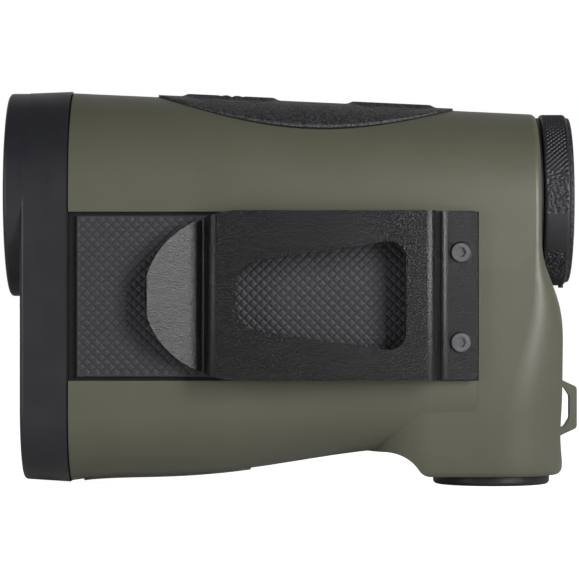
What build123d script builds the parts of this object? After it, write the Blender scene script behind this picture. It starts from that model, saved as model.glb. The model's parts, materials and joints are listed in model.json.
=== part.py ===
from build123d import *
import math
import os

# Hand-held laser rangefinder, in millimetres.
# Origin: centre of the battery cap's outer face, the point it stands on. +Z is up,
# +X points from the objective to the eyepiece, -Y is the side that carries the belt clip.
# The model's mid-plane is Y = 0.

os.makedirs("parts", exist_ok=True)

# ---- driving dimensions: housing ------------------------------------------------------
SEAM_X = -83.2            # joint between front bezel and housing
REAR_X = 8.8              # flat rear end around the eyepiece
TOP_FRONT_Z = 77.4        # height of the roof line at the seam
TOP_REAR_Z = 73.15        # height of the roof line at the rear end
TOWER_BOTTOM_Z = 1.5      # underside of the battery tower
WALL = 2.0
# The battery and its cap are drawn from the cap's outer face, Z = 0. Everything else is drawn from
# a level close under the front bezel, and is raised by LIFT when it is saved.
LIFT = 0.5
# distance along X, underside height, half width, radius of the two lower corners
BARREL_STATIONS = [
    (SEAM_X, 0.45, 20.0, 14.0),
    (-62.0, 1.6, 19.95, 14.0),
    (-40.0, 4.1, 19.8, 13.8),
    (-24.0, 6.4, 19.6, 13.2),
    (-6.0, 7.0, 19.25, 12.8),
    (REAR_X, 7.0, 18.95, 12.8),
]
# The battery tower's plan is a rounded rectangle: height, half width, rear end, corner radius.
# It slopes forward under the eyepiece, where its corners tighten to the edge of the rear face.
TOWER_STATIONS = [
    (TOWER_BOTTOM_Z, 14.8, 13.5, 12.5),
    (8.0, 16.7, 13.5, 12.3),
    (14.0, 18.0, 13.5, 11.6),
    (21.0, 18.95, 13.5, 10.0),
    (28.0, 19.15, 13.4, 8.0),
    (33.4, 19.15, 12.9, 6.2),
    (39.0, 19.1, 11.1, 3.8),
    (44.6, 19.0, 9.1, 1.7),
    (50.0, 18.95, 8.4, 1.3),
]
TOWER_FRONT_X = -25.0
TOWER_EDGE_R = 1.4
TOWER_CORNER_MIN = 0.5    # smallest corner of the tower's hollow
SHOULDER_X = -4.0         # behind this line and below SHOULDER_Z only the tower is solid
SHOULDER_Z = 42.0
ARCH_R = 7.8              # finger arch cut across the underside
ARCH_LIP_R = 3.0          # rounding from the arch into the tower's underside
ARCH_X, ARCH_TOP_Z = -21.5, 6.3
REAR_EDGE_R = 1.3

# ---- driving dimensions: side pads and clip -------------------------------------------
RECESS_Z0, RECESS_Z1 = 20.5, 53.3
RECESS_X1 = -3.6
RECESS_Y = 18.6           # floor of the recess, from the mid-plane
PAD_Y = 19.9              # outer face of the pad
PAD_GAP = 0.7             # dark frame between pad and recess wall
PAD_X0 = -81.6
PAD_FLANGE_T = 0.3
CLIP_T = 1.5              # sheet thickness of the belt clip
CLIP_Z = 37.05            # middle of the clip's height
CLIP_HALF_H = 16.35
CLIP_X1 = -3.9            # rear edge of the screw plate
CLIP_BEND_R = 0.5         # inner radius of the sheet's bends
CLIP_LEAF_Y = 25.0        # inner face of the leaf, from the mid-plane
CLIP_TIP_X = -68.2
CLIP_TIP_CX = -49.4       # centre of the leaf's half-oval end
CLIP_SPLIT_Y = 23.2       # the flexing leaf starts half way up the joggle
CLIP_SPLIT_GAP = 0.12
CLIP_CONTACT_Y = 19.6     # where the inner face would bend if the bend were sharp
CLIP_TIP_Y = 24.2
WINDOW_X0, WINDOW_X1 = -50.7, -17.9
WINDOW_H0, WINDOW_H1 = 6.2, 10.9
INSERT_R, INSERT_L = 2.2, 4.2
SCREW_HEAD_R, SCREW_HEAD_H, HEX_AF = 2.0, 0.7, 1.8
SCREW_X = -7.2
SCREW_ZS = [28.0, 45.4]

# ---- driving dimensions: optics --------------------------------------------------------
OBJECTIVE_Z = 57.1
EMITTER_Z = 20.3
EYE_Z = 56.05
EYE_R = 17.05
BEZEL_R = 20.2
BEZEL_CORNER_R = 14.2     # the bezel stands on a narrow flat between its lower corners
OBJECTIVE_FRONT_X = -95.9
LOWER_FRONT_X = -92.6
RING_X0, RING_X1 = 9.4, 14.6
EYE_TUBE_R, EYE_BORE_R = 12.4, 10.6
OBJECTIVE_CELL_R, EMITTER_CELL_R = 12.8, 10.2
CELL_CLEARANCE = 0.05     # between a lens cell or eyepiece tube and its bore
RECEIVER_XZ = (-44.0, 57.0)
BOARD_XZ, BOARD_Y = (-46.0, 29.0), 12.5
BOARD_SCREWS = (48, 20)   # spacing along X and Z
GASKET_T = 0.35           # thickness of the seal between housing and bezel
BEZEL_REAR_X = SEAM_X - GASKET_T

# ---- driving dimensions: top controls --------------------------------------------------
GRIP_X, GRIP_HALF_L, GRIP_HALF_W = -37.05, 29.4, 13.5
GRIP_GAP = 0.3            # shadow line round the grip
GRIP_RAISE = 0.45
BUTTON_RAISE = 0.95
POCKET_DEPTH = 1.2
BUTTON_GAP = 0.2
BUTTON_TRAVEL = 0.6
MEASURE_X, MEASURE_HALF_L, MEASURE_HALF_W = -52.0, 10.2, 6.6
MENU_X, MENU_HALF_L, MENU_HALF_W = -20.0, 9.4, 6.2
STEM_R = 2.2
LOOP_X0 = 12.7            # where the lanyard loop leaves the tower
SWITCH_TOP_Z = 69.0

# ---- driving dimensions: battery -------------------------------------------------------
CAP_R = 11.6
CAP_BOSS_R = 9.4
CAP_CLEARANCE = 0.05
CAP_BAR_W = 4.4
BATTERY_R, BATTERY_L = 7.8, 27.0
BATTERY_Z0 = 6.6
WELL_R = 8.1
STUD_R = 1.5
WELL_T = 1.1


def roof_height(x):
    """Height of the straight roof line at x."""
    t = (x - SEAM_X) / (REAR_X - SEAM_X)
    return TOP_FRONT_Z + t * (TOP_REAR_Z - TOP_FRONT_Z)


def save(piece, label, lift=LIFT):
    """Bring one finished piece to the height of the standing instrument and write its STEP file."""
    piece.part.locate(Location((0, 0, lift)))
    piece.part.label = label
    export_step(piece.part, f"parts/{label}.step")


def body_section(x, low, high, half_w, corner_r):
    """Cross-section at x: a half-round top, straight sides, and two rounded corners below."""
    diagonal = corner_r * math.sqrt(0.5)
    spring_z = high - half_w
    corner_y, corner_z = half_w - corner_r, low + corner_r
    with BuildSketch(Plane.YZ.offset(x)) as section:
        with BuildLine():
            ThreePointArc((-half_w, spring_z), (0, high), (half_w, spring_z))
            Line((half_w, spring_z), (half_w, corner_z))
            ThreePointArc(
                (half_w, corner_z), (corner_y + diagonal, corner_z - diagonal), (corner_y, low)
            )
            Line((corner_y, low), (-corner_y, low))
            ThreePointArc(
                (-corner_y, low), (-corner_y - diagonal, corner_z - diagonal), (-half_w, corner_z)
            )
            Line((-half_w, corner_z), (-half_w, spring_z))
        make_face()
    return section.sketch


def barrel(inset, rear_inset=0.0):
    """The barrel of the housing, round on top and softly squared below, shrunk by inset."""
    with BuildPart() as solid:
        for x, floor, half_w, corner_r in BARREL_STATIONS:
            station = x - rear_inset if x == REAR_X else x
            roof = roof_height(x) - inset
            add(body_section(station, floor + inset, roof, half_w - inset, corner_r - inset))
        loft()
        with BuildSketch(Plane.XZ):
            with Locations((SHOULDER_X, SHOULDER_Z)):
                Rectangle(40, 60, align=(Align.MIN, Align.MAX))
        extrude(amount=40, both=True, mode=Mode.SUBTRACT)
    return solid


def arch(inset):
    """The finger arch, cut through from side to side and open towards the objective."""
    radius, lip_r = ARCH_R + inset, ARCH_LIP_R - inset
    centre_z = ARCH_TOP_Z - ARCH_R
    lip_z = TOWER_BOTTOM_Z + ARCH_LIP_R
    tilt = math.asin((lip_z - centre_z) / (ARCH_R + ARCH_LIP_R))
    lip_x = ARCH_X + (ARCH_R + ARCH_LIP_R) * math.cos(tilt)

    def on_arch(angle):
        return (ARCH_X + radius * math.cos(angle), centre_z + radius * math.sin(angle))

    def on_lip(angle):
        return (lip_x - lip_r * math.cos(angle), lip_z - lip_r * math.sin(angle))

    upright_angle = math.pi / 2
    half_way = (tilt + upright_angle) / 2
    with BuildPart() as solid:
        with BuildSketch(Plane.XZ):
            with BuildLine():
                ThreePointArc(on_arch(upright_angle), on_arch(half_way), on_arch(tilt))
                ThreePointArc(on_lip(tilt), on_lip(half_way), on_lip(upright_angle))
                Polyline(
                    on_lip(upright_angle), (lip_x, -20), (ARCH_X - 20, -20),
                    (ARCH_X - 20, centre_z + radius), on_arch(upright_angle),
                )
            make_face()
        extrude(amount=40, both=True)
    return solid


def tower(inset):
    """The battery tower, shrunk on all sides by inset."""
    with BuildPart() as solid:
        for z, half_w, rear_x, corner_r in TOWER_STATIONS:
            height = z + inset if z == TOWER_BOTTOM_Z else z
            length = rear_x - TOWER_FRONT_X - 2 * inset
            with BuildSketch(Plane.XY.offset(height)):
                with Locations(((TOWER_FRONT_X + rear_x) / 2, 0)):
                    RectangleRounded(length, 2 * (half_w - inset), max(corner_r - inset, TOWER_CORNER_MIN))
        loft()
        fillet(solid.faces().sort_by(Axis.Z)[0].edges(), TOWER_EDGE_R)
        add(arch(inset).part, mode=Mode.SUBTRACT)
    return solid


def tube(x0, x1, z, outer, inner=0.0):
    """A tube or disc along X."""
    with BuildPart() as solid:
        with BuildSketch(Plane.YZ.offset(x0)):
            with Locations((0, z)):
                Circle(outer)
                if inner > 0:
                    Circle(inner, mode=Mode.SUBTRACT)
        extrude(amount=x1 - x0)
    return solid


def upright(z0, z1, outer, inner=0.0, x=0.0, y=0.0):
    """A tube or disc along Z."""
    with BuildPart() as solid:
        with BuildSketch(Plane.XY.offset(z0)):
            with Locations((x, y)):
                Circle(outer)
                if inner > 0:
                    Circle(inner, mode=Mode.SUBTRACT)
        extrude(amount=z1 - z0)
    return solid


def oval_prism(x, half_l, half_w, z0, z1):
    """An oval column through the roof, used to cut or bound the controls."""
    with BuildPart() as solid:
        with BuildSketch(Plane.XY.offset(z0)):
            with Locations((x, 0)):
                Ellipse(half_l, half_w)
        extrude(amount=z1 - z0)
    return solid


def lens(x0, z, radius, thickness, bulge, front=1, rear=1):
    """A lens on an X axis: a disc with a dome of height bulge on each marked face."""
    x1 = x0 + thickness
    curve_r = (radius ** 2 + bulge ** 2) / (2 * bulge)
    sag = bulge - curve_r + math.sqrt(curve_r ** 2 - (radius / 2) ** 2)
    with BuildPart() as solid:
        with BuildSketch(Plane.XZ):
            with BuildLine():
                tip0 = (x0 - front * bulge, z)
                rim0 = (x0, z + radius)
                rim1 = (x1, z + radius)
                tip1 = (x1 + rear * bulge, z)
                if front:
                    ThreePointArc(tip0, (x0 - sag, z + radius / 2), rim0)
                else:
                    Line(tip0, rim0)
                Line(rim0, rim1)
                if rear:
                    ThreePointArc(rim1, (x1 + sag, z + radius / 2), tip1)
                else:
                    Line(rim1, tip1)
                Line(tip1, tip0)
            make_face()
        revolve(axis=Axis((0, 0, z), (1, 0, 0)))
    return solid


# ---- main housing ----------------------------------------------------------------------
outer_barrel = barrel(0, 0)
outer_tower = tower(0)
inner_barrel = barrel(WALL, WALL)
inner_tower = tower(WALL)
grip_column = oval_prism(GRIP_X, GRIP_HALF_L, GRIP_HALF_W, 60, 90)
pocket_column = oval_prism(GRIP_X, GRIP_HALF_L + GRIP_GAP, GRIP_HALF_W + GRIP_GAP, 60, 90)
pocket_floor = barrel(POCKET_DEPTH)

with BuildPart() as grip_skin:
    add(barrel(-GRIP_RAISE).part)
    add(grip_column.part, mode=Mode.INTERSECT)
    add(pocket_floor.part, mode=Mode.SUBTRACT)

with BuildPart() as grip_pocket:
    add(barrel(-2).part)
    add(pocket_column.part, mode=Mode.INTERSECT)
    add(pocket_floor.part, mode=Mode.SUBTRACT)

with BuildPart() as shell:
    add(outer_barrel.part)
    rear_edges = shell.faces().sort_by(Axis.X)[-1].edges().sort_by(Axis.Z)[1:]
    fillet(rear_edges, REAR_EDGE_R)

with BuildPart() as main_housing:
    add(shell.part)
    add(outer_tower.part)
    add(inner_barrel.part, mode=Mode.SUBTRACT)
    add(inner_tower.part, mode=Mode.SUBTRACT)
    # recesses for the side pads, open towards the front bezel
    for side in (-1, 1):
        with BuildSketch(Plane.XZ.offset(-side * RECESS_Y)):
            with Locations((RECESS_X1, (RECESS_Z0 + RECESS_Z1) / 2)):
                Rectangle(90, RECESS_Z1 - RECESS_Z0, align=(Align.MAX, Align.CENTER))
        extrude(amount=-side * 10, mode=Mode.SUBTRACT)
    # solid boss behind the clip screws
    with BuildSketch(Plane.XZ.offset(RECESS_Y)):
        for z in SCREW_ZS:
            with Locations((SCREW_X, z)):
                Circle(3.0)
    extrude(amount=-5.4)
    with BuildSketch(Plane.XZ.offset(RECESS_Y)):
        for z in SCREW_ZS:
            with Locations((SCREW_X, z)):
                Circle(INSERT_R)
    extrude(amount=-INSERT_L, mode=Mode.SUBTRACT)
    # four bosses that carry the main board
    with BuildSketch(Plane.XZ.offset(-BOARD_Y - 1.25)):
        with Locations(BOARD_XZ):
            with GridLocations(*BOARD_SCREWS, 2, 2):
                Circle(2.2)
    extrude(amount=-4.4)
    with BuildSketch(Plane.XZ.offset(-BOARD_Y - 1.2)):
        with Locations(BOARD_XZ):
            with GridLocations(*BOARD_SCREWS, 2, 2):
                Circle(1.02)
    extrude(amount=-2.6, mode=Mode.SUBTRACT)
    # the slope behind the eyepiece is scooped out round the turning ring
    with BuildSketch(Plane.YZ.offset(REAR_X)):
        with Locations((0, EYE_Z)):
            Circle(EYE_R + 0.4)
    extrude(amount=8, mode=Mode.SUBTRACT)
    # bore for the battery cap's boss, bore for the eyepiece barrel
    with BuildSketch(Plane.XY):
        Circle(CAP_BOSS_R + CAP_CLEARANCE)
    extrude(amount=WALL + 3, mode=Mode.SUBTRACT)
    with BuildSketch(Plane.YZ.offset(REAR_X - 6)):
        with Locations((0, EYE_Z)):
            Circle(EYE_TUBE_R + CELL_CLEARANCE)
    extrude(amount=12, mode=Mode.SUBTRACT)
    # pocket for the rubber grip, with openings for the two button stems
    add(grip_pocket.part, mode=Mode.SUBTRACT)
    with BuildSketch(Plane.XY.offset(60)):
        for x in (MEASURE_X, MENU_X):
            with Locations((x, 0)):
                Circle(STEM_R + 0.3)
    extrude(amount=30, mode=Mode.SUBTRACT)
save(main_housing, "main_housing")

# ---- front bezel, its gasket and the lens groups ---------------------------------------
_, seam_floor, seam_half_w, seam_corner_r = BARREL_STATIONS[0]
seam_rings = []
for inset in (0.25, 2.0):
    with BuildPart() as seam_slab:
        low, high = seam_floor + inset, TOP_FRONT_Z - inset
        add(body_section(SEAM_X, low, high, seam_half_w - inset, seam_corner_r - inset))
        extrude(amount=GASKET_T, dir=(-1, 0, 0))
    seam_rings.append(seam_slab.part)
with BuildPart() as bezel_gasket:
    add(seam_rings[0])
    add(seam_rings[1], mode=Mode.SUBTRACT)
save(bezel_gasket, "bezel_gasket")

with BuildPart() as front_bezel:
    for x, low, high in ((BEZEL_REAR_X, 0.2, 77.7), (LOWER_FRONT_X, 0.75, 77.35)):
        add(body_section(x, low, high, BEZEL_R, BEZEL_CORNER_R))
    loft()
    fillet(front_bezel.faces().sort_by(Axis.X)[0].edges(), 0.8)
    with BuildSketch(Plane.YZ.offset(LOWER_FRONT_X + 1)):
        with Locations((0, OBJECTIVE_Z)):
            Circle(BEZEL_R)
    extrude(amount=OBJECTIVE_FRONT_X - LOWER_FRONT_X - 1)
    fillet(front_bezel.faces().sort_by(Axis.X)[0].edges(), 0.7)
    # flared mouths in front of the two lenses
    for z, front, mouth, throat, depth in (
        (OBJECTIVE_Z, OBJECTIVE_FRONT_X, 15.5, OBJECTIVE_CELL_R + CELL_CLEARANCE, 7.0),
        (EMITTER_Z, LOWER_FRONT_X, 12.5, EMITTER_CELL_R + CELL_CLEARANCE, 3.0),
    ):
        with BuildSketch(Plane.YZ.offset(front)):
            with Locations((0, z)):
                Circle(mouth)
        with BuildSketch(Plane.YZ.offset(front + depth)):
            with Locations((0, z)):
                Circle(throat)
        loft(mode=Mode.SUBTRACT)
        with BuildSketch(Plane.YZ.offset(front + depth - 0.1)):
            with Locations((0, z)):
                Circle(throat)
        extrude(amount=20, mode=Mode.SUBTRACT)
save(front_bezel, "front_bezel")

save(tube(-88.9, -58.0, OBJECTIVE_Z, OBJECTIVE_CELL_R, 11.6), "objective_cell")
save(tube(-88.8, -87.6, OBJECTIVE_Z, 11.55, 10.4), "objective_retaining_ring")
save(lens(-87.3, OBJECTIVE_Z, 11.5, 2.4, 0.9, rear=0), "objective_front_lens")
save(lens(-78.0, OBJECTIVE_Z, 11.5, 1.8, 0.6, rear=0), "objective_rear_lens")
save(tube(-84.85, -78.25, OBJECTIVE_Z, 11.55, 10.2), "objective_spacer")
save(tube(-89.6, -68.0, EMITTER_Z, EMITTER_CELL_R, 9.1), "emitter_cell")
save(tube(-89.5, -88.6, EMITTER_Z, 9.05, 8.1), "emitter_retaining_ring")
save(lens(-88.4, EMITTER_Z, 9.0, 1.8, 0.7, rear=0), "emitter_lens")
save(tube(-67.9, -64.0, EMITTER_Z, 8.0, 4.6), "laser_mount")

with BuildPart() as laser_module:
    add(tube(-67.8, -63.4, EMITTER_Z, 4.5).part)
    add(tube(-63.4, -62.2, EMITTER_Z, 5.6).part)
    for y in (-2.0, 0.0, 2.0):
        with BuildSketch(Plane.YZ.offset(-62.2)):
            with Locations((y, EMITTER_Z)):
                Circle(0.35)
        extrude(amount=6)
save(laser_module, "laser_module")

# ---- prism, display and receiver -------------------------------------------------------
with BuildPart() as roof_prism:
    with BuildSketch(Plane.XZ):
        with BuildLine():
            Polyline((-50, 49), (-50, 65), (-38, 65), (-28, 56), (-28, 49), close=True)
        make_face()
    extrude(amount=7.5, both=True)
    chamfer(roof_prism.edges().filter_by(Axis.Y), 0.4)
save(roof_prism, "roof_prism")

with BuildPart() as prism_bracket:
    with BuildSketch(Plane.XZ):
        with Locations((-37.5, 46.9)):
            Rectangle(34, 4)
    extrude(amount=11, both=True)
    for y in (-9.4, 9.4):
        with BuildSketch(Plane.XZ.offset(-y)):
            with Locations((-39, 55)):
                Rectangle(24, 18)
            with Locations(RECEIVER_XZ):
                Circle(3.0, mode=Mode.SUBTRACT)
        extrude(amount=0.8, both=True)
save(prism_bracket, "prism_bracket")

with BuildPart() as receiver_module:
    for y0, y1, radius in ((10.3, 11.1, 4.6), (11.1, 14.0, 4.0)):
        with BuildSketch(Plane.XZ.offset(-y0)):
            with Locations(RECEIVER_XZ):
                Circle(radius)
        extrude(amount=y0 - y1)
save(receiver_module, "receiver_module")

with BuildPart() as display_panel:
    with BuildSketch(Plane.YZ.offset(-19)):
        with Locations((0, EYE_Z)):
            Rectangle(15, 14)
    extrude(amount=1.6)
save(display_panel, "display_panel")
save(tube(-17.3, -6.0, EYE_Z, 9.6, 8.2), "field_tube")
save(lens(-12.0, EYE_Z, 8.15, 2.0, 0.8, rear=0), "field_lens")

# ---- circuit boards --------------------------------------------------------------------
with BuildPart() as main_board:
    with BuildSketch(Plane.XZ.offset(-BOARD_Y)):
        with Locations(BOARD_XZ):
            RectangleRounded(54, 26, 1.5)
            with GridLocations(*BOARD_SCREWS, 2, 2):
                Circle(1.1, mode=Mode.SUBTRACT)
    extrude(amount=-1.2)
    with BuildSketch(Plane.XZ.offset(-BOARD_Y)):
        for x, z, length, height in ((-60, 30, 10, 10), (-42, 32, 8, 6), (-30, 27, 6, 9)):
            with Locations((x, z)):
                Rectangle(length, height)
    extrude(amount=1.2)
save(main_board, "main_board")

with BuildPart() as board_screws:
    for radius, start, length in ((1.9, BOARD_Y, 0.9), (1.0, BOARD_Y + 3.4, 3.4)):
        with BuildSketch(Plane.XZ.offset(-start)):
            with Locations(BOARD_XZ):
                with GridLocations(*BOARD_SCREWS, 2, 2):
                    Circle(radius)
        extrude(amount=length)
save(board_screws, "board_screws")

with BuildPart() as button_board:
    with BuildSketch(Plane.XY.offset(SWITCH_TOP_Z - 2.8)):
        with Locations((-36, 0)):
            RectangleRounded(42, 12, 1.5)
    extrude(amount=1.0)
save(button_board, "button_board")

with BuildPart() as button_switches:
    for x in (MEASURE_X, MENU_X):
        with BuildSketch(Plane.XY.offset(SWITCH_TOP_Z - 1.8)):
            with Locations((x, 0)):
                Rectangle(5.2, 5.2)
        extrude(amount=1.3)
        with BuildSketch(Plane.XY.offset(SWITCH_TOP_Z - 0.5)):
            with Locations((x, 0)):
                Circle(1.2)
        extrude(amount=0.5)
save(button_switches, "button_switches")

# ---- rubber parts on the outside -------------------------------------------------------
for side, label in ((-1, "side_pad_left"), (1, "side_pad_right")):
    with BuildPart() as side_pad:
        # thin flange over the whole recess floor, then the raised pad
        for x0, x1, height, corner, top_y in (
            (SEAM_X + 0.05, RECESS_X1 - 0.05, RECESS_Z1 - RECESS_Z0 - 0.1, 0.2, RECESS_Y + PAD_FLANGE_T),
            (PAD_X0, RECESS_X1 - PAD_GAP, RECESS_Z1 - RECESS_Z0 - 2 * PAD_GAP, 0.8, PAD_Y),
        ):
            with BuildSketch(Plane.XZ.offset(-side * RECESS_Y)):
                with Locations(((x0 + x1) / 2, (RECESS_Z0 + RECESS_Z1) / 2)):
                    RectangleRounded(x1 - x0, height, corner)
            extrude(amount=-side * (top_y - RECESS_Y))
        outer_rim = side_pad.faces().sort_by(Axis.Y)[0 if side < 0 else -1].outer_wire().edges()
        chamfer(outer_rim, 0.3)
        if side < 0:
            with BuildSketch(Plane.XZ.offset(RECESS_Y)):
                for z in SCREW_ZS:
                    with Locations((SCREW_X, z)):
                        Circle(1.7)
            extrude(amount=PAD_Y - RECESS_Y, mode=Mode.SUBTRACT)
    save(side_pad, label)

with BuildPart() as top_grip:
    add(grip_skin.part)
    for x, half_l, half_w in (
        (MEASURE_X, MEASURE_HALF_L, MEASURE_HALF_W),
        (MENU_X, MENU_HALF_L, MENU_HALF_W),
    ):
        add(oval_prism(x, half_l + BUTTON_GAP, half_w + BUTTON_GAP, 60, 90).part, mode=Mode.SUBTRACT)
save(top_grip, "top_grip")

for label, x, half_l, half_w in (
    ("measure_button", MEASURE_X, MEASURE_HALF_L, MEASURE_HALF_W),
    ("menu_button", MENU_X, MENU_HALF_L, MENU_HALF_W),
):
    with BuildPart() as button:
        add(oval_prism(x, half_l, half_w, 60, 90).part)
        add(barrel(-BUTTON_RAISE).part, mode=Mode.INTERSECT)
        add(barrel(POCKET_DEPTH - BUTTON_TRAVEL - 0.25).part, mode=Mode.SUBTRACT)
        with BuildSketch(Plane.XY.offset(SWITCH_TOP_Z + BUTTON_TRAVEL + 0.05)):
            with Locations((x, 0)):
                Circle(STEM_R)
        extrude(until=Until.NEXT)
    save(button, label)

with BuildPart() as belly_pad:
    with BuildSketch(Plane.XY.offset(-2)):
        with Locations((-64.5, 0)):
            RectangleRounded(33, 15, 2)
    extrude(amount=12)
    add(barrel(-0.35).part, mode=Mode.INTERSECT)
    add(outer_barrel.part, mode=Mode.SUBTRACT)
save(belly_pad, "belly_pad")

# ---- belt clip -------------------------------------------------------------------------
# The inner face of the sheet, seen from above: screw plate, joggle, leaf, contact bend, flared tip.
with BuildPart() as clip_sheet:
    with BuildSketch(Plane.XY.offset(CLIP_Z - 25)):
        with BuildLine():
            FilletPolyline(
                (CLIP_X1, -PAD_Y), (-12.0, -PAD_Y), (-13.6, -CLIP_LEAF_Y), (-54.7, -CLIP_LEAF_Y),
                (-55.5, -CLIP_CONTACT_Y), (CLIP_TIP_X, -CLIP_TIP_Y),
                radius=[2 * CLIP_T, CLIP_BEND_R, CLIP_BEND_R, CLIP_BEND_R + CLIP_T],
            )
            offset(amount=CLIP_T, side=Side.LEFT)
        make_face()
    extrude(amount=50)

with BuildPart() as clip_blank:
    with BuildSketch(Plane.XZ.offset(10)):
        with Locations(((CLIP_X1 + CLIP_TIP_CX) / 2, CLIP_Z)):
            RectangleRounded(CLIP_X1 - CLIP_TIP_CX, 2 * CLIP_HALF_H, 1.0)
        with Locations((CLIP_TIP_CX, CLIP_Z)):
            Rectangle(4, 2 * CLIP_HALF_H)
            Ellipse(CLIP_TIP_CX - CLIP_TIP_X, CLIP_HALF_H)
    extrude(amount=30)
    # window, wider towards the screws
    with BuildSketch(Plane.XZ.offset(10)):
        with BuildLine():
            FilletPolyline(
                (WINDOW_X0, CLIP_Z - WINDOW_H0), (WINDOW_X0, CLIP_Z + WINDOW_H0),
                (WINDOW_X1, CLIP_Z + WINDOW_H1), (WINDOW_X1, CLIP_Z - WINDOW_H1),
                close=True, radius=[5.2, 5.2, 3.3, 3.3],
            )
        make_face()
    extrude(amount=30, mode=Mode.SUBTRACT)
    add(clip_sheet.part, mode=Mode.INTERSECT)

for label, low_y, high_y in (
    ("clip_plate", -CLIP_SPLIT_Y, -10),
    ("clip_leaf", -40, -CLIP_SPLIT_Y - CLIP_SPLIT_GAP),
):
    with BuildPart() as clip_half:
        add(clip_blank.part)
        # the plate keeps what is behind the split line, the leaf what is in front of it or forward
        with BuildSketch(Plane.XY.offset(CLIP_Z - 30)):
            if label == "clip_plate":
                with Locations((-16, low_y)):
                    Rectangle(30, high_y - low_y, align=(Align.MIN, Align.MIN))
            else:
                with Locations((-80, low_y)):
                    Rectangle(90, high_y - low_y, align=(Align.MIN, Align.MIN))
                with Locations((-80, -30)):
                    Rectangle(60, 20, align=(Align.MIN, Align.MIN))
        extrude(amount=60, mode=Mode.INTERSECT)
        if label == "clip_plate":
            with BuildSketch(Plane.XZ.offset(10)):
                for z in SCREW_ZS:
                    with Locations((SCREW_X, z)):
                        Circle(1.35)
            extrude(amount=20, mode=Mode.SUBTRACT)
    save(clip_half, label)

with BuildPart() as clip_screws:
    head_y = PAD_Y + CLIP_T
    for z in SCREW_ZS:
        with BuildSketch(Plane.XZ.offset(head_y)):
            with Locations((SCREW_X, z)):
                Circle(SCREW_HEAD_R)
        extrude(amount=SCREW_HEAD_H)
    chamfer(clip_screws.faces().group_by(Axis.Y)[0].edges(), 0.25)
    for z in SCREW_ZS:
        with BuildSketch(Plane.XZ.offset(head_y + SCREW_HEAD_H)):
            with Locations((SCREW_X, z)):
                RegularPolygon(HEX_AF / 2, 6, major_radius=False)
        extrude(amount=-1.0, mode=Mode.SUBTRACT)
        with BuildSketch(Plane.XZ.offset(head_y)):
            with Locations((SCREW_X, z)):
                Circle(1.2)
        extrude(amount=-5.6)
save(clip_screws, "clip_screws")

with BuildPart() as clip_inserts:
    for z in SCREW_ZS:
        with BuildSketch(Plane.XZ.offset(RECESS_Y)):
            with Locations((SCREW_X, z)):
                Circle(INSERT_R)
                Circle(1.2, mode=Mode.SUBTRACT)
        extrude(amount=-INSERT_L)
save(clip_inserts, "clip_inserts")

# ---- eyepiece --------------------------------------------------------------------------
with BuildPart() as eyepiece_barrel:
    add(tube(-5.8, 9.2, EYE_Z, EYE_TUBE_R, EYE_BORE_R).part)
    add(tube(9.2, 13.6, EYE_Z, 13.2, EYE_BORE_R).part)
    add(tube(REAR_X, 9.2, EYE_Z, 16.4, EYE_BORE_R).part)
save(eyepiece_barrel, "eyepiece_barrel")

with BuildPart() as diopter_ring:
    add(tube(RING_X0, RING_X1, EYE_Z, EYE_R, 13.3).part)
    add(tube(13.8, RING_X1, EYE_Z, 14.0, 11.0).part)
    fillet(diopter_ring.edges().filter_by(GeomType.CIRCLE).group_by(SortBy.RADIUS)[-1], 0.7)
    # small index tab at the bottom of the ring
    with BuildSketch(Plane.XZ):
        with Locations((13.9, EYE_Z - EYE_R)):
            Rectangle(0.8, 1.0)
    extrude(amount=1.2, both=True)
save(diopter_ring, "diopter_ring")

with BuildPart() as eyecup:
    add(tube(RING_X1, 15.3, EYE_Z, 16.4, 11.6).part)
    fillet(eyecup.faces().sort_by(Axis.X)[-1].edges(), 0.3)
save(eyecup, "eyecup")

with BuildPart() as eye_lens_cell:
    add(tube(-4.0, 12.6, EYE_Z, EYE_BORE_R - 0.05, 9.6).part)
save(eye_lens_cell, "eye_lens_cell")
save(lens(0.0, EYE_Z, 9.55, 2.4, 0.9, front=0), "eye_lens_front")
save(lens(8.6, EYE_Z, 9.55, 2.4, 0.9, front=0), "eye_lens_rear")
save(tube(3.6, 8.5, EYE_Z, 9.55, 8.4), "eye_lens_spacer")

# ---- lanyard loop ----------------------------------------------------------------------
with BuildPart() as lanyard_loop:
    with BuildSketch(Plane.XZ):
        with BuildLine():
            FilletPolyline(
                (LOOP_X0, 8.6), (17.0, 10.6), (17.0, 18.8), (LOOP_X0, 20.8), (LOOP_X0 - 1.2, 14.7),
                close=True, radius=[0.3, 0.9, 0.9, 0.3, 0.3],
            )
        make_face()
        # D-shaped eye for the strap
        with BuildLine():
            FilletPolyline(
                (LOOP_X0, 10.5), (14.5, 10.8), (15.55, 12.6), (15.55, 17.0), (14.5, 18.7), (LOOP_X0, 19.0),
                close=True, radius=[0.1, 0.9, 0.9, 0.9, 0.9, 0.1],
            )
        make_face(mode=Mode.SUBTRACT)
    extrude(amount=1.9, both=True)
    add(outer_tower.part, mode=Mode.SUBTRACT)
save(lanyard_loop, "lanyard_loop")

# ---- battery, its well, spring, contacts and cap ---------------------------------------
save(upright(BATTERY_Z0 - 0.4, 37.0, WELL_R + WELL_T, WELL_R), "battery_well", lift=0)

with BuildPart() as top_contact:
    add(upright(34.6, 36.4, WELL_R - 0.1).part)
    add(upright(34.2, 34.6, 2.6).part)
save(top_contact, "top_contact", lift=0)

with BuildPart() as battery:
    add(upright(BATTERY_Z0, BATTERY_Z0 + BATTERY_L, BATTERY_R).part)
    fillet(battery.edges(), 0.6)
    add(upright(BATTERY_Z0 + BATTERY_L - 0.1, BATTERY_Z0 + BATTERY_L + 0.55, 3.0).part)
save(battery, "battery", lift=0)

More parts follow.
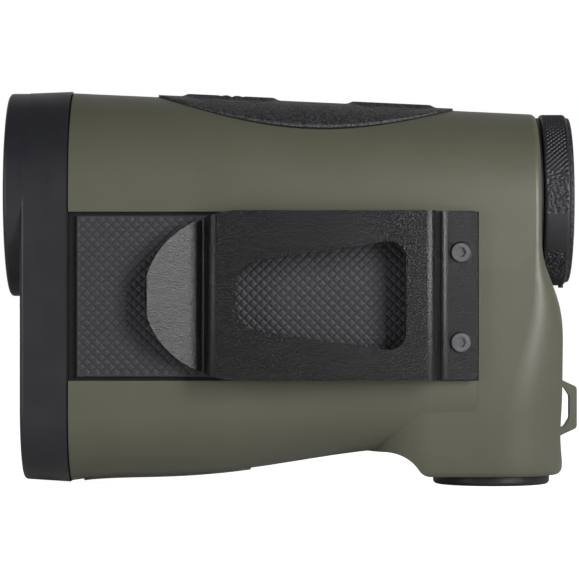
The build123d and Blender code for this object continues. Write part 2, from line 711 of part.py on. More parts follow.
with BuildPart() as battery_cap:
    add(upright(0, 1.85, CAP_R).part)
    fillet(battery_cap.faces().sort_by(Axis.Z)[0].edges(), 0.8)
    add(upright(1.8, 4.4, CAP_BOSS_R).part)
    with BuildSketch(Plane.XZ):
        with Locations((CAP_BOSS_R, 3.0)):
            Rectangle(1.6, 1.0)
    revolve(axis=Axis.Z, mode=Mode.SUBTRACT)
    # two finger pockets leave a bar across the middle to turn the cap by
    with BuildSketch(Plane.XY):
        Circle(CAP_R - 2.6)
        Rectangle(CAP_BAR_W, 2 * CAP_R, rotation=35, mode=Mode.SUBTRACT)
    extrude(amount=0.9, mode=Mode.SUBTRACT)
    # bore that the contact plate's stud turns in
    with BuildSketch(Plane.XY.offset(4.4)):
        Circle(STUD_R + 0.05)
    extrude(amount=-2.2, mode=Mode.SUBTRACT)
save(battery_cap, "battery_cap", lift=0)

with BuildPart() as cap_seal:
    with BuildSketch(Plane.XZ):
        with Locations((CAP_BOSS_R - 0.38, 3.0)):
            Circle(0.38)
    revolve(axis=Axis.Z)
save(cap_seal, "cap_seal", lift=0)

with BuildPart() as contact_plate:
    add(upright(4.5, 4.9, 7.4).part)
    add(upright(2.4, 4.5, STUD_R).part)
save(contact_plate, "contact_plate", lift=0)

with BuildPart() as battery_spring:
    add(upright(4.9, BATTERY_Z0, 3.2, 2.6).part)
save(battery_spring, "battery_spring", lift=0)
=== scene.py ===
import json
import math

import bpy
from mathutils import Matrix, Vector, noise
from mathutils.bvhtree import BVHTree


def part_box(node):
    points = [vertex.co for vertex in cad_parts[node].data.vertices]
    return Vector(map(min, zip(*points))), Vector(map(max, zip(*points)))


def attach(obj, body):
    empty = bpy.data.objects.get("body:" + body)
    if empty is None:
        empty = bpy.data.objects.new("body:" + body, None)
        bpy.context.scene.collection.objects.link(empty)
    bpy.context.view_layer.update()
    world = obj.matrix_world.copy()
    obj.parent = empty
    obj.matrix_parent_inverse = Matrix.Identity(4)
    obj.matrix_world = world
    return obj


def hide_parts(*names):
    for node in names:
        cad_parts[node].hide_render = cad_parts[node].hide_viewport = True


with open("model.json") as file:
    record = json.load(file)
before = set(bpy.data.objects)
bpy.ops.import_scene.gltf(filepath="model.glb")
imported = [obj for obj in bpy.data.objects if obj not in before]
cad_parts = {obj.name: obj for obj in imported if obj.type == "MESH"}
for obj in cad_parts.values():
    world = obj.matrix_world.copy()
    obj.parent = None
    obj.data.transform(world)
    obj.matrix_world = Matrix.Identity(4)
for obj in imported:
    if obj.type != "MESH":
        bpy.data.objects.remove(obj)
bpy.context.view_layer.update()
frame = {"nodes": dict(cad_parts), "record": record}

# Looks of a hand-held laser rangefinder. Metres, same frame as the CAD: +Z up, +X towards the
# eyepiece, -Y towards the belt clip, origin at the centre of the battery cap's outer face.

MM = 0.001
NODES = frame["nodes"]

# ---- camera and stage ------------------------------------------------------------------
CAMERA_DISTANCE = 630 * MM
CAMERA_X = -40.3 * MM
CAMERA_Z = 38.7 * MM
VIEW_WIDTH = 115.8 * MM      # width of the view at the object's mid-plane
SENSOR_MM = 36.0
CLIP_START = 0.01
LIGHT_DISTANCE = 0.42        # near enough for the floor not to hide the lights' reflections
FLOOR_REACH = 6.0
FLOOR_GLOW = 0.95            # keeps the floor as pale as the backdrop, without lighting the object
BRIGHT_WAY = (0, 0.85, -0.5)  # the surround sheds most light from this way: behind and below
SHED_LEAST, SHED_MOST = 0.03, 0.6

# ---- driving sizes of the Blender pieces -----------------------------------------------
DIAMOND_PITCH = 1.9 * MM     # crosshatch on the side pads, measured along X and Z
DIAMOND_STEPS = 10           # mesh steps in one pitch
DIAMOND_DEPTH = 0.24 * MM
GROOVE_FLOOR = 0.02 * MM     # half widths of a groove, at its floor and at its top
GROOVE_TOP = 0.24 * MM
DIMPLE = 0.08                # share of the depth by which a diamond's middle sinks
DIMPLE_START = 0.42 * MM     # distances from the groove between which it sinks
DIMPLE_END = 0.66 * MM
PAD_RIM = 0.5 * MM           # plain border round the crosshatch
PAD_RIM_BLEND = 0.1 * MM
PAD_BEVEL = 0.3 * MM
PAD_INSET_FRONT = 1.55 * MM  # the raised pad starts this far inside its flange
PAD_INSET = 0.65 * MM
FLANGE_T = 0.3 * MM
FLANGE_BEVEL = 0.08 * MM
SHADOW_LINE_SPOKES = 240
SHADOW_LINE_REACH = 0.36 * MM       # how far the painted shadow line reaches beyond the grip's outline
SHADOW_LINE_T = 0.3 * MM
SHADOW_LINE_PROUD = 0.03 * MM
RING_R = 17.05 * MM          # turning ring of the eyepiece
RING_CORNER = 0.7 * MM
RING_CORNER_STEPS = 5
RING_BORE_R = 13.3 * MM
RING_BORE_CHAMFER = (0.15 * MM, 0.3 * MM)
RING_LIP_R = 11.0 * MM
RING_LIP_T = 0.8 * MM
RING_LIP_CHAMFER = 0.2 * MM
RING_SPOKES = 1248
RING_STEPS = 36
TAB_BEHIND = (1.1 * MM, 0.3 * MM)  # the index tab's two ends, forward of the ring's rear face
TAB_HALF_W = 1.2 * MM
TAB_HALF_H = 0.45 * MM
KNURL_DEPTH = 0.2 * MM
KNURL_RIBS = 104
KNURL_SLANT = 6.0            # radians of the knurl's wave per millimetre along the ring
KNURL_END = 0.5 * MM         # the relief fades out over this length at both ends
PLAIN_MIDDLE = math.radians(23)    # middle of a plain sector, below the side of the ring
PLAIN_EDGE = (math.radians(12), math.radians(15))    # plain up to the first, patterned past the second
PEBBLE_EDGE = (math.radians(32), math.radians(48))   # pebbles fade into ribs between these
PEBBLE_ALONG = 1.9           # pebbles' noise scale, per millimetre along the ring
PEBBLE_ROUND = 32            # radius of the ring in the pebble noise's own units
KEY_RING_COUNT, KEY_SPOKES = 44, 168
KEY_WALL = 0.7 * MM
CREST_DROP = 0.5 * MM        # from the crest of a key down to its rim
SCOOP_DROP = 0.8 * MM        # from the crest down to the scooped flanks
CREST_TOP = 1.1 * MM         # half widths of the crest, at its top and at its foot
CREST_FOOT = 3.1 * MM
CREST_FADE = (1.9 * MM, 0.2 * MM)  # the crest falls away between these distances from the ends
KEY_RIM_START = 0.74         # share of the way out from which the flanks rise to the rim
RIB_HEIGHT = 0.06 * MM       # cross ribs on the crest
RIB_EDGE = (0.15 * MM, 0.7 * MM)
DIP_DEPTH = 0.09 * MM        # dips on both sides of a rib
DIP_EDGE = (0.1 * MM, 0.6 * MM)
DIP_OFFSET = 1.05 * MM
MEASURE_RIBS = (-52.9 * MM, -50.7 * MM)
SKIN_SHARE = 0.998           # rays at a key's edge are moved inward by this much, so that they land on it

BOX_SIDES = ((0, 1, 3, 2), (4, 6, 7, 5), (0, 4, 5, 1), (2, 3, 7, 6), (0, 2, 6, 4), (1, 5, 7, 3))


def smoothstep(low, high, value):
    """0 below low, 1 above high, smooth between."""
    t = min(max((value - low) / (high - low), 0.0), 1.0)
    return t * t * (3 - 2 * t)


def mesh_piece(name, points, faces, smooth=True):
    """A new mesh object from points and faces."""
    mesh = bpy.data.meshes.new(name)
    mesh.from_pydata(points, [], faces)
    mesh.validate()
    piece = bpy.data.objects.new(name, mesh)
    bpy.context.scene.collection.objects.link(piece)
    for polygon in mesh.polygons:
        polygon.use_smooth = smooth
    return piece


def box_corners(xs, ys, zs):
    """The eight corners of a box, in the order that BOX_SIDES uses."""
    return [(x, y, z) for x in xs for y in ys for z in zs]


def skin_tree(node):
    """A tree for casting rays at a CAD node's surface."""
    mesh = NODES[node].data
    return BVHTree.FromPolygons([v.co for v in mesh.vertices], [p.vertices for p in mesh.polygons])


def finish_piece(piece, body, slot, material, *replaced):
    """Put a piece on its body, give it its material, and hide the CAD nodes it stands for; the slot is not
    used.
    """
    piece.data.materials.append(material)
    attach(piece, body)
    if replaced:
        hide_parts(*replaced)


# ---- materials -------------------------------------------------------------------------
class Shader:
    """A principled material with helpers for procedural nodes in object coordinates."""

    def __init__(self, name, color, roughness, metallic=0.0, ior=1.5):
        self.material = bpy.data.materials.new(name)
        self.material.use_nodes = True
        self.nodes = self.material.node_tree.nodes
        self.links = self.material.node_tree.links
        self.surface = self.nodes["Principled BSDF"]
        self.surface.inputs["Base Color"].default_value = (*color, 1.0)
        self.surface.inputs["Roughness"].default_value = roughness
        self.surface.inputs["Metallic"].default_value = metallic
        self.surface.inputs["IOR"].default_value = ior
        self.coordinates = self.nodes.new("ShaderNodeTexCoord").outputs["Object"]
        self.normal = None

    def noise(self, scale, detail=3.0, roughness=0.55):
        """Cloudy noise, scale per metre."""
        node = self.nodes.new("ShaderNodeTexNoise")
        node.inputs["Scale"].default_value = scale
        node.inputs["Detail"].default_value = detail
        node.inputs["Roughness"].default_value = roughness
        self.links.new(self.coordinates, node.inputs["Vector"])
        return node.outputs["Fac"]

    def ramp(self, factor, low, low_color, high, high_color):
        """One colour below low, another above high."""
        node = self.nodes.new("ShaderNodeValToRGB")
        first, second = node.color_ramp.elements
        first.position, first.color = low, (*low_color, 1.0)
        second.position, second.color = high, (*high_color, 1.0)
        self.links.new(factor, node.inputs["Fac"])
        return node.outputs["Color"]

    def span(self, factor, low, high):
        """Maps 0..1 to low..high."""
        node = self.nodes.new("ShaderNodeMapRange")
        node.inputs["To Min"].default_value = low
        node.inputs["To Max"].default_value = high
        self.links.new(factor, node.inputs["Value"])
        return node.outputs["Result"]

    def mix(self, factor, first, second):
        """Blends two colours, each a socket or a plain colour."""
        node = self.nodes.new("ShaderNodeMix")
        node.data_type = "RGBA"
        self.links.new(factor, node.inputs[0])
        for socket, value in ((6, first), (7, second)):
            if isinstance(value, tuple):
                node.inputs[socket].default_value = (*value, 1.0)
            else:
                self.links.new(value, node.inputs[socket])
        return node.outputs[2]

    def raised(self, low, high):
        """1 on raised relief, 0 in its grooves, for evenly meshed pieces."""
        geometry = self.nodes.new("ShaderNodeNewGeometry")
        node = self.nodes.new("ShaderNodeMapRange")
        node.inputs["From Min"].default_value = low
        node.inputs["From Max"].default_value = high
        self.links.new(geometry.outputs["Pointiness"], node.inputs["Value"])
        return node.outputs["Result"]

    def bump(self, height, strength, distance):
        """Adds fine relief on top of any earlier bump."""
        node = self.nodes.new("ShaderNodeBump")
        node.inputs["Strength"].default_value = strength
        node.inputs["Distance"].default_value = distance
        self.links.new(height, node.inputs["Height"])
        if self.normal:
            self.links.new(self.normal, node.inputs["Normal"])
        self.normal = node.outputs["Normal"]
        self.links.new(self.normal, self.surface.inputs["Normal"])

    def color(self, output):
        """Drives the base colour."""
        self.links.new(output, self.surface.inputs["Base Color"])

    def roughness(self, output):
        """Drives the roughness."""
        self.links.new(output, self.surface.inputs["Roughness"])


def olive_shell():
    """Matte olive moulding: very fine spark-eroded grain and faint mottling."""
    shader = Shader("olive_shell", (0.094, 0.094, 0.066), 0.45)
    tone = shader.ramp(shader.noise(90, 5), 0.3, (0.090, 0.090, 0.063), 0.7, (0.098, 0.098, 0.070))
    shader.color(tone)
    shader.roughness(shader.span(shader.noise(260, 4), 0.38, 0.48))
    shader.bump(shader.noise(5200, 2, 0.6), 0.16, 0.05 * MM)
    return shader.material


def bezel_black():
    """Smooth satin black moulding with a slight blue cast and soft handling marks."""
    shader = Shader("bezel_black", (0.012, 0.0125, 0.016), 0.4)
    tone = shader.ramp(shader.noise(120, 4), 0.35, (0.015, 0.0155, 0.019), 0.7, (0.021, 0.0215, 0.025))
    shader.color(tone)
    shader.roughness(shader.span(shader.noise(300, 5), 0.34, 0.48))
    shader.bump(shader.noise(7000, 2), 0.1, 0.03 * MM)
    return shader.material


def ring_black():
    """Black armour of the turning ring, with painted shade darkening the knurl's grooves."""
    shader = Shader("ring_black", (0.012, 0.0125, 0.015), 0.45)
    # the near-black colour in the grooves is painted shade
    shader.color(shader.mix(shader.raised(0.44, 0.53), (0.004, 0.004, 0.005), (0.015, 0.0155, 0.0185)))
    shader.roughness(shader.span(shader.noise(900, 4), 0.38, 0.55))
    shader.bump(shader.noise(7000, 2), 0.15, 0.03 * MM)
    return shader.material


def pad_rubber():
    """Charcoal rubber, duller, with painted shade darkening the grooves."""
    shader = Shader("pad_rubber", (0.038, 0.039, 0.044), 0.6)
    tone = shader.ramp(shader.noise(500, 4), 0.3, (0.027, 0.028, 0.032), 0.7, (0.035, 0.036, 0.041))
    # the near-black colour in the grooves is painted shade
    shader.color(shader.mix(shader.raised(0.42, 0.52), (0.008, 0.008, 0.010), tone))
    shader.roughness(shader.span(shader.noise(900, 3), 0.5, 0.68))
    shader.bump(shader.noise(9000, 2), 0.2, 0.04 * MM)
    return shader.material


def grip_rubber(name, depth):
    """Black rubber with a fine leather-like grain of the given depth, painted darker in the grain's
    hollows as shade and lighter on its tops as highlight.
    """
    shader = Shader(name, (0.022, 0.023, 0.025), 0.5)
    grain = shader.noise(2000, 3, 0.65)
    # colour follows the grain's height: painted shade in its hollows, painted highlight on its tops
    shader.color(shader.ramp(grain, 0.42, (0.004, 0.004, 0.005), 0.6, (0.055, 0.056, 0.060)))
    shader.roughness(shader.span(shader.noise(1900, 3), 0.34, 0.58))
    shader.bump(grain, 1.0, depth)
    return shader.material


def seal_rubber():
    """Plain dark seal rubber."""
    shader = Shader("seal_rubber", (0.004, 0.004, 0.004), 0.8)
    shader.roughness(shader.span(shader.noise(900, 3), 0.7, 0.9))
    shader.bump(shader.noise(4000, 2), 0.2, 0.03 * MM)
    return shader.material


def crinkle_coat():
    """Black crinkle powder coat on steel: fine folds that catch small highlights, painted darker in their
    hollows as shade.
    """
    shader = Shader("crinkle_coat", (0.006, 0.006, 0.007), 0.25, ior=1.48)
    fold = shader.noise(3600, 2, 0.6)
    # colour follows the folds' height: painted shade in their hollows
    shader.color(shader.ramp(fold, 0.45, (0.002, 0.002, 0.003), 0.7, (0.012, 0.012, 0.013)))
    shader.roughness(shader.span(shader.noise(2600, 3), 0.17, 0.28))
    shader.bump(fold, 1.0, 0.11 * MM)
    return shader.material


def steel(name, color, roughness):
    """Plain machined steel with faint turning marks and stains."""
    shader = Shader(name, color, roughness, metallic=1.0)
    dark = tuple(0.72 * channel for channel in color)
    shader.color(shader.ramp(shader.noise(1500, 5), 0.3, dark, 0.65, color))
    shader.roughness(shader.span(shader.noise(2500, 4), roughness - 0.08, roughness + 0.12))
    shader.bump(shader.noise(6000, 2), 0.12, 0.02 * MM)
    return shader.material


def cap_black():
    """Satin black moulding of the battery cap, scuffed in places."""
    shader = Shader("cap_black", (0.016, 0.016, 0.017), 0.45)
    tone = shader.ramp(shader.noise(700, 5), 0.35, (0.014, 0.014, 0.015), 0.75, (0.026, 0.026, 0.026))
    shader.color(tone)
    shader.roughness(shader.span(shader.noise(500, 4), 0.38, 0.55))
    shader.bump(shader.noise(5000, 2), 0.15, 0.03 * MM)
    return shader.material


def anodised():
    """Black anodised aluminium."""
    shader = Shader("anodised", (0.02, 0.02, 0.022), 0.45, metallic=0.6)
    shader.roughness(shader.span(shader.noise(900, 4), 0.38, 0.55))
    shader.bump(shader.noise(6000, 2), 0.1, 0.02 * MM)
    return shader.material


def coated_glass(name, tint, coat_tint):
    """Optical glass with an anti-reflection coating that tints what it reflects."""
    shader = Shader(name, tint, 0.03, ior=1.6)
    shader.surface.inputs["Transmission Weight"].default_value = 0.9
    shader.surface.inputs["Coat Weight"].default_value = 0.6
    shader.surface.inputs["Coat Tint"].default_value = (*coat_tint, 1.0)
    shader.roughness(shader.span(shader.noise(400, 4), 0.015, 0.05))
    return shader.material


def moulding(name, color, roughness):
    """A plain inner moulding with a light grain."""
    shader = Shader(name, color, roughness)
    light = tuple(1.25 * channel for channel in color)
    shader.color(shader.ramp(shader.noise(400, 4), 0.35, color, 0.7, light))
    shader.roughness(shader.span(shader.noise(700, 3), roughness - 0.06, roughness + 0.1))
    shader.bump(shader.noise(4000, 2), 0.15, 0.03 * MM)
    return shader.material


MATERIALS = {
    "housing_shell": olive_shell(),
    "bezel_plastic": bezel_black(),
    "pad_rubber": pad_rubber(),
    "grip_rubber": grip_rubber("grip_rubber", 0.28 * MM),
    "seal_rubber": seal_rubber(),
    "clip_steel": crinkle_coat(),
    "screw_steel": steel("screw_steel", (0.22, 0.22, 0.23), 0.36),
    "insert_brass": steel("insert_brass", (0.6, 0.45, 0.2), 0.35),
    "cell_aluminium": anodised(),
    "lens_glass": coated_glass("lens_glass", (0.75, 0.72, 0.85), (0.6, 0.45, 0.9)),
    "prism_glass": coated_glass("prism_glass", (0.85, 0.9, 0.9), (0.8, 0.9, 0.8)),
    "board": moulding("board", (0.02, 0.11, 0.05), 0.4),
    "inner_plastic": moulding("inner_plastic", (0.02, 0.02, 0.02), 0.55),
    "contact_steel": steel("contact_steel", (0.6, 0.6, 0.58), 0.25),
    "cap_plastic": cap_black(),
    "battery_wrap": moulding("battery_wrap", (0.25, 0.25, 0.27), 0.3),
    "display": moulding("display", (0.12, 0.14, 0.12), 0.2),
}
KEY_RUBBER = grip_rubber("key_rubber", 0.10 * MM)
RING_BLACK = ring_black()


def dress_cad_nodes():
    """Give each CAD node its slot's material, and soften the edges of some, in millimetres."""
    bevels = {
        "clip_plate": 0.28, "clip_leaf": 0.28, "battery_cap": 0.15, "lanyard_loop": 0.3,
        "clip_screws": 0.08, "eyecup": 0.1, "top_grip": 0.3,
    }
    slots = {entry["node"]: entry["material_slot"] for entry in frame["record"]["subparts"]}
    for name, node in NODES.items():
        node.data.materials.clear()
        node.data.materials.append(MATERIALS[slots[name]])
        if name in bevels:
            weld = node.modifiers.new("weld", "WELD")
            weld.merge_threshold = 0.001 * MM
            bevel = node.modifiers.new("bevel", "BEVEL")
            bevel.width = bevels[name] * MM
            bevel.segments = 3
            bevel.limit_method = "ANGLE"
            bevel.angle_limit = math.radians(32)
            bevel.harden_normals = True


# ---- crosshatched side pads ------------------------------------------------------------
def diamond_height(x, z):
    """0 in the grooves, 1 on the diamonds; grooves run at 45 degrees both ways."""
    period = DIAMOND_PITCH / math.sqrt(2)
    nearest = period
    for along in ((x + z) / math.sqrt(2), (x - z) / math.sqrt(2)):
        phase = (along / period) % 1.0
        nearest = min(nearest, period * min(phase, 1 - phase))
    dimple = DIMPLE * smoothstep(DIMPLE_START, DIMPLE_END, nearest)
    return smoothstep(GROOVE_FLOOR, GROOVE_TOP, nearest) - dimple


def side_pad(node, outward, label):
    """A rubber pad with a crosshatched face, a plain rim and a bevelled edge, on a thin flange whose
    near-black colour is painted shade in the recess round the pad.
    """
    low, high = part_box(node)
    face_y = high.y if outward > 0 else low.y
    back_y = low.y if outward > 0 else high.y
    x0, x1 = low.x + PAD_INSET_FRONT, high.x - PAD_INSET
    z0, z1 = low.z + PAD_INSET, high.z - PAD_INSET
    step = DIAMOND_PITCH / DIAMOND_STEPS
    columns = round((x1 - x0) / step)
    rows = round((z1 - z0) / step)
    points, faces = [], []
    for column in range(columns + 1):
        x = x0 + (x1 - x0) * column / columns
        for row in range(rows + 1):
            z = z0 + (z1 - z0) * row / rows
            edge = min(x - x0, x1 - x, z - z0, z1 - z)
            relief = diamond_height(column * step, row * step)
            hatched = smoothstep(PAD_RIM, PAD_RIM + PAD_RIM_BLEND, edge)
            sunk = DIAMOND_DEPTH * (1 - relief) * hatched
            sunk += PAD_BEVEL * (1 - smoothstep(0, PAD_BEVEL, edge))
            points.append((x, face_y - outward * sunk, z))
    stride = rows + 1
    for column in range(columns):
        for row in range(rows):
            corner = column * stride + row
            quad = (corner, corner + stride, corner + stride + 1, corner + 1)
            faces.append(quad if outward < 0 else quad[::-1])
    # side walls down to the recess floor, and the back
    border = list(range(rows + 1))
    border += [column * stride + rows for column in range(1, columns + 1)]
    border += [columns * stride + row for row in range(rows - 1, -1, -1)]
    border += [column * stride for column in range(columns - 1, 0, -1)]
    first = len(points)
    points += [(points[index][0], back_y, points[index][2]) for index in border]
    count = len(border)
    for k in range(count):
        n = (k + 1) % count
        wall = (border[k], border[n], first + n, first + k)
        faces.append(wall if outward < 0 else wall[::-1])
    back = [first + k for k in range(count)]
    faces.append(back if outward < 0 else back[::-1])
    pad = mesh_piece(label + "_crosshatch", points, faces)
    finish_piece(pad, "housing", "pad_rubber", MATERIALS["pad_rubber"], node)
    # flange over the whole recess floor, with softened edges; its near-black colour is painted shade in
    # the gap round the pad
    near, far = sorted((back_y, back_y + outward * FLANGE_T))
    corners = box_corners((low.x, high.x), (near, far), (low.z, high.z))
    flange = mesh_piece(label + "_flange", corners, BOX_SIDES, smooth=False)
    bevel = flange.modifiers.new("bevel", "BEVEL")
    bevel.width = FLANGE_BEVEL
    bevel.segments = 2
    # near-black seal rubber on the flange: painted shade in the recess
    finish_piece(flange, "housing", "pad_rubber", MATERIALS["seal_rubber"], node)


# ---- painted shadow line round the rubber grip -----------------------------------------
def grip_shadow_line():
    """A thin black bead laid in the gap round the grip, flush with the roof: painted shadow standing in
    for the shade in that gap.
    """
    low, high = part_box("top_grip")
    centre_x, half_l, half_w = (low.x + high.x) / 2, (high.x - low.x) / 2, high.y
    tree = skin_tree("main_housing")

    def roof(angle, beyond):
        """The point of the roof this far outside the grip's outline."""
        x = centre_x + (half_l + beyond) * math.cos(angle)
        y = (half_w + beyond) * math.sin(angle)
        return tree.ray_cast(Vector((x, y, high.z + MM)), Vector((0, 0, -1)))[0]

    points, faces = [], []
    for spoke in range(SHADOW_LINE_SPOKES):
        angle = 2 * math.pi * spoke / SHADOW_LINE_SPOKES
        outer, further = roof(angle, SHADOW_LINE_REACH), roof(angle, 2 * SHADOW_LINE_REACH)
        inner = outer + (outer - further)
        for point, drop in ((inner, 0), (outer, 0), (outer, SHADOW_LINE_T), (inner, SHADOW_LINE_T)):
            points.append((point.x, point.y, point.z + SHADOW_LINE_PROUD - drop))
    for spoke in range(SHADOW_LINE_SPOKES):
        after = (spoke + 1) % SHADOW_LINE_SPOKES
        for k in range(4):
            n = (k + 1) % 4
            faces.append((spoke * 4 + k, spoke * 4 + n, after * 4 + n, after * 4 + k))
    shadow_line = mesh_piece("grip_shadow_line", points, faces)
    # near-black seal rubber here is painted shadow in the gap round the grip
    finish_piece(shadow_line, "housing", "seal_rubber", MATERIALS["seal_rubber"])


# ---- push buttons ----------------------------------------------------------------------
def key(node, body, label, ribs):
    """A sculpted key: a crest along the middle, scooped flanks, and small cross ribs on the crest."""
    low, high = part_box(node)
    tree = skin_tree(node)
    centre_x, half_l, half_w = (low.x + high.x) / 2, (high.x - low.x) / 2, high.y

    def skin(x, y):
        """The CAD key's domed top, which the crest follows."""
        above = Vector((centre_x + SKIN_SHARE * (x - centre_x), SKIN_SHARE * y, high.z + MM))
        hit = tree.ray_cast(above, Vector((0, 0, -1)))
        return hit[0].z if hit[0] else None

    def surface(x, y, fraction):
        """The sculpted top, at this fraction of the way from the centre to the edge."""
        crest = 1 - smoothstep(CREST_TOP, CREST_FOOT, abs(y))
        crest *= 1 - smoothstep(half_l - CREST_FADE[0], half_l - CREST_FADE[1], abs(x - centre_x))
        rim = smoothstep(KEY_RIM_START, 1.0, fraction)
        drop = (1 - crest) * (SCOOP_DROP + (CREST_DROP - SCOOP_DROP) * rim)
        for rib in ribs:
            offset = abs(x - rib)
            drop -= crest * RIB_HEIGHT * (1 - smoothstep(*RIB_EDGE, offset))
            drop += crest * DIP_DEPTH * (1 - smoothstep(*DIP_EDGE, abs(offset - DIP_OFFSET)))
        return skin(x, y) - drop

    # the plan: a centre point and rings of spokes, used for the top and again for the underside
    plan = [(centre_x, 0.0, 0.0)]
    for ring in range(1, KEY_RING_COUNT + 1):
        fraction = ring / KEY_RING_COUNT
        for spoke in range(KEY_SPOKES):
            angle = 2 * math.pi * spoke / KEY_SPOKES
            x = centre_x + half_l * fraction * math.cos(angle)
            plan.append((x, half_w * fraction * math.sin(angle), fraction))
    points = [(x, y, surface(x, y, fraction)) for x, y, fraction in plan]
    points += [(x, y, skin(x, y) - CREST_DROP - KEY_WALL) for x, y, _ in plan]
    under = len(plan)
    rim = 1 + (KEY_RING_COUNT - 1) * KEY_SPOKES
    faces = []
    for spoke in range(KEY_SPOKES):
        after = (spoke + 1) % KEY_SPOKES
        faces.append((0, 1 + spoke, 1 + after))
        faces.append((under, under + 1 + after, under + 1 + spoke))
        for ring in range(KEY_RING_COUNT - 1):
            inner, outer = 1 + ring * KEY_SPOKES, 1 + (ring + 1) * KEY_SPOKES
            quad = (inner + spoke, outer + spoke, outer + after, inner + after)
            faces.append(quad)
            faces.append(tuple(under + corner for corner in reversed(quad)))
        faces.append((rim + spoke, under + rim + spoke, under + rim + after, rim + after))
    piece = mesh_piece(label, points, faces)
    finish_piece(piece, body, "grip_rubber", KEY_RUBBER, node)


# ---- turning ring of the eyepiece ------------------------------------------------------
def knurl_height(turn, x, length):
    """Relief of the ring at turn radians below the -Y side: 1 outside, 0 in the grooves.

    Diagonal ribs fade into pebbles beside two plain sectors, one on each side.
    """
    beside = abs(((turn - PLAIN_MIDDLE + math.pi / 2) % math.pi) - math.pi / 2)
    patterned = smoothstep(*PLAIN_EDGE, beside)
    pebbled = 1 - smoothstep(*PEBBLE_EDGE, beside)
    slant = KNURL_SLANT * x / MM
    ribs = 0.5 + 0.3 * math.sin(turn * KNURL_RIBS + slant) + 0.2 * math.sin(turn * KNURL_RIBS - slant)
    around = (math.sin(turn) * PEBBLE_ROUND, math.cos(turn) * PEBBLE_ROUND)
    pebble = noise.noise(Vector((x / MM * PEBBLE_ALONG, *around)))
    relief = smoothstep(0.25, 0.75, ribs * (1 - pebbled) + pebbled * (pebble * 1.4 + 0.6))
    inside = smoothstep(0.0, KNURL_END, x) * smoothstep(0.0, KNURL_END, length - x)
    return 1 - (1 - relief) * patterned * inside


def eyepiece_ring():
    """The rubber-armoured diopter ring, a lathe profile with relief on its outer face."""
    low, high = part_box("diopter_ring")
    axis_z = sum(corner.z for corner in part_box("eyecup")) / 2
    length = high.x - low.x
    profile = [(RING_BORE_CHAMFER[0], RING_BORE_R), (0.0, RING_BORE_R + RING_BORE_CHAMFER[1])]
    bends = [math.radians(90 * k / RING_CORNER_STEPS) for k in range(RING_CORNER_STEPS + 1)]
    for bend in bends:
        radius = RING_R - RING_CORNER * (1 - math.sin(bend))
        profile.append((RING_CORNER * (1 - math.cos(bend)), radius))
    for k in range(1, RING_STEPS):
        profile.append((RING_CORNER + (length - 2 * RING_CORNER) * k / RING_STEPS, RING_R))
    for bend in bends:
        radius = RING_R - RING_CORNER * (1 - math.cos(bend))
        profile.append((length - RING_CORNER * (1 - math.sin(bend)), radius))
    profile += [(length, RING_LIP_R + RING_LIP_CHAMFER), (length - RING_LIP_CHAMFER, RING_LIP_R)]
    profile += [(length - RING_LIP_T, RING_LIP_R), (length - RING_LIP_T, RING_BORE_R)]
    points, faces = [], []
    for spoke in range(RING_SPOKES):
        turn = 2 * math.pi * spoke / RING_SPOKES
        for x, radius in profile:
            if radius == RING_R:
                radius -= KNURL_DEPTH * (1 - knurl_height(turn, x, length))
            points.append((low.x + x, -radius * math.cos(turn), axis_z - radius * math.sin(turn)))
    count = len(profile)
    for spoke in range(RING_SPOKES):
        after = (spoke + 1) % RING_SPOKES
        for k in range(count):
            n = (k + 1) % count
            faces.append((spoke * count + k, after * count + k, after * count + n, spoke * count + n))
    # index tab under the ring
    base = len(points)
    ends = [high.x - behind for behind in TAB_BEHIND]
    under_z = axis_z - RING_R
    points += box_corners(ends, (-TAB_HALF_W, TAB_HALF_W), (under_z - TAB_HALF_H, under_z + TAB_HALF_H))
    faces += [tuple(base + corner for corner in side) for side in BOX_SIDES]
    ring = mesh_piece("diopter_ring_knurled", points, faces)
    finish_piece(ring, "eyepiece_ring", "bezel_plastic", RING_BLACK, "diopter_ring")


# ---- stage -----------------------------------------------------------------------------
def camera():
    """A level camera on the belt clip's side, looking along +Y."""
    data = bpy.data.cameras.new("camera")
    data.sensor_width = SENSOR_MM
    data.lens = SENSOR_MM * CAMERA_DISTANCE / VIEW_WIDTH
    data.clip_start = CLIP_START
    eye = bpy.data.objects.new("camera", data)
    eye.location = (CAMERA_X, -CAMERA_DISTANCE, CAMERA_Z)
    eye.rotation_euler = (math.radians(90), 0, 0)
    bpy.context.scene.collection.objects.link(eye)
    bpy.context.scene.camera = eye


def soft_box(name, side_deg, height_deg, size, power):
    """An area light aimed at the object, side_deg to the right of the camera's line of sight."""
    side, height = math.radians(side_deg), math.radians(height_deg)
    middle = Vector((CAMERA_X, 0, CAMERA_Z))
    aim = Vector((math.sin(side) * math.cos(height), -math.cos(side) * math.cos(height), math.sin(height)))
    data = bpy.data.lights.new(name, "AREA")
    data.shape = "RECTANGLE"
    data.size, data.size_y = size
    data.energy = power
    light = bpy.data.objects.new(name, data)
    light.location = middle + aim * LIGHT_DISTANCE
    light.rotation_euler = aim.to_track_quat("Z", "Y").to_euler()
    bpy.context.scene.collection.objects.link(light)


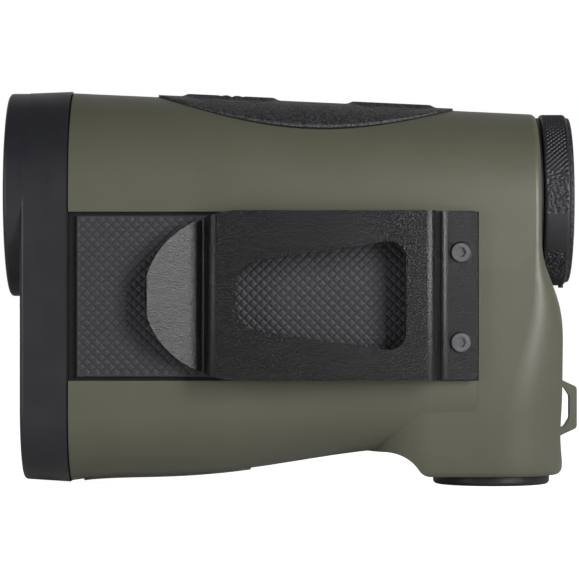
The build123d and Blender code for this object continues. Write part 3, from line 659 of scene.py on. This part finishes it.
def surround():
    """White backdrop, shedding light mostly from behind and below, little from above or in front."""
    world = bpy.data.worlds.new("surround")
    world.use_nodes = True
    nodes, links = world.node_tree.nodes, world.node_tree.links
    backdrop = nodes["Background"]
    backdrop.inputs["Color"].default_value = (1, 1, 1, 1)
    shed = nodes.new("ShaderNodeBackground")
    shed.inputs["Color"].default_value = (1, 1, 1, 1)
    behind = nodes.new("ShaderNodeVectorMath")
    behind.operation = "DOT_PRODUCT"
    behind.inputs[1].default_value = BRIGHT_WAY
    fall = nodes.new("ShaderNodeMapRange")
    fall.inputs["From Min"].default_value = -0.3
    fall.inputs["From Max"].default_value = 0.7
    fall.inputs["To Min"].default_value = SHED_LEAST
    fall.inputs["To Max"].default_value = SHED_MOST
    blend = nodes.new("ShaderNodeMixShader")
    links.new(nodes.new("ShaderNodeTexCoord").outputs["Generated"], behind.inputs[0])
    links.new(behind.outputs["Value"], fall.inputs["Value"])
    links.new(fall.outputs["Result"], shed.inputs["Strength"])
    links.new(nodes.new("ShaderNodeLightPath").outputs["Is Camera Ray"], blend.inputs["Fac"])
    links.new(shed.outputs["Background"], blend.inputs[1])
    links.new(backdrop.outputs["Background"], blend.inputs[2])
    links.new(blend.outputs["Shader"], nodes["World Output"].inputs["Surface"])
    bpy.context.scene.world = world


def stage():
    """A pale floor, the white surround and two soft boxes, the stronger on the eyepiece side."""
    paint = Shader("floor", (0.9, 0.9, 0.9), 0.9)
    paint.color(paint.ramp(paint.noise(3, 2), 0.3, (0.89, 0.89, 0.89), 0.7, (0.91, 0.91, 0.91)))
    glow = paint.nodes.new("ShaderNodeMath")
    glow.operation = "MULTIPLY"
    glow.inputs[1].default_value = FLOOR_GLOW
    paint.links.new(paint.nodes.new("ShaderNodeLightPath").outputs["Is Camera Ray"], glow.inputs[0])
    paint.surface.inputs["Emission Color"].default_value = (1, 1, 1, 1)
    paint.links.new(glow.outputs["Value"], paint.surface.inputs["Emission Strength"])
    signs = ((-1, -1), (1, -1), (1, 1), (-1, 1))
    corners = [(FLOOR_REACH * x, FLOOR_REACH * y, 0) for x, y in signs]
    floor = mesh_piece("floor", corners, [(0, 1, 2, 3)])
    floor.data.materials.append(paint.material)
    surround()
    soft_box("right_box", side_deg=38, height_deg=9, size=(0.13, 0.34), power=2.05)
    soft_box("left_box", side_deg=-46, height_deg=6, size=(0.112, 0.34), power=0.62)
    bpy.context.scene.view_settings.view_transform = "Standard"


camera()
dress_cad_nodes()
side_pad("side_pad_left", -1, "side_pad_left")
side_pad("side_pad_right", 1, "side_pad_right")
key("measure_button", "measure_key", "measure_button_sculpted", MEASURE_RIBS)
key("menu_button", "menu_key", "menu_button_sculpted", ())
grip_shadow_line()
eyepiece_ring()
stage()
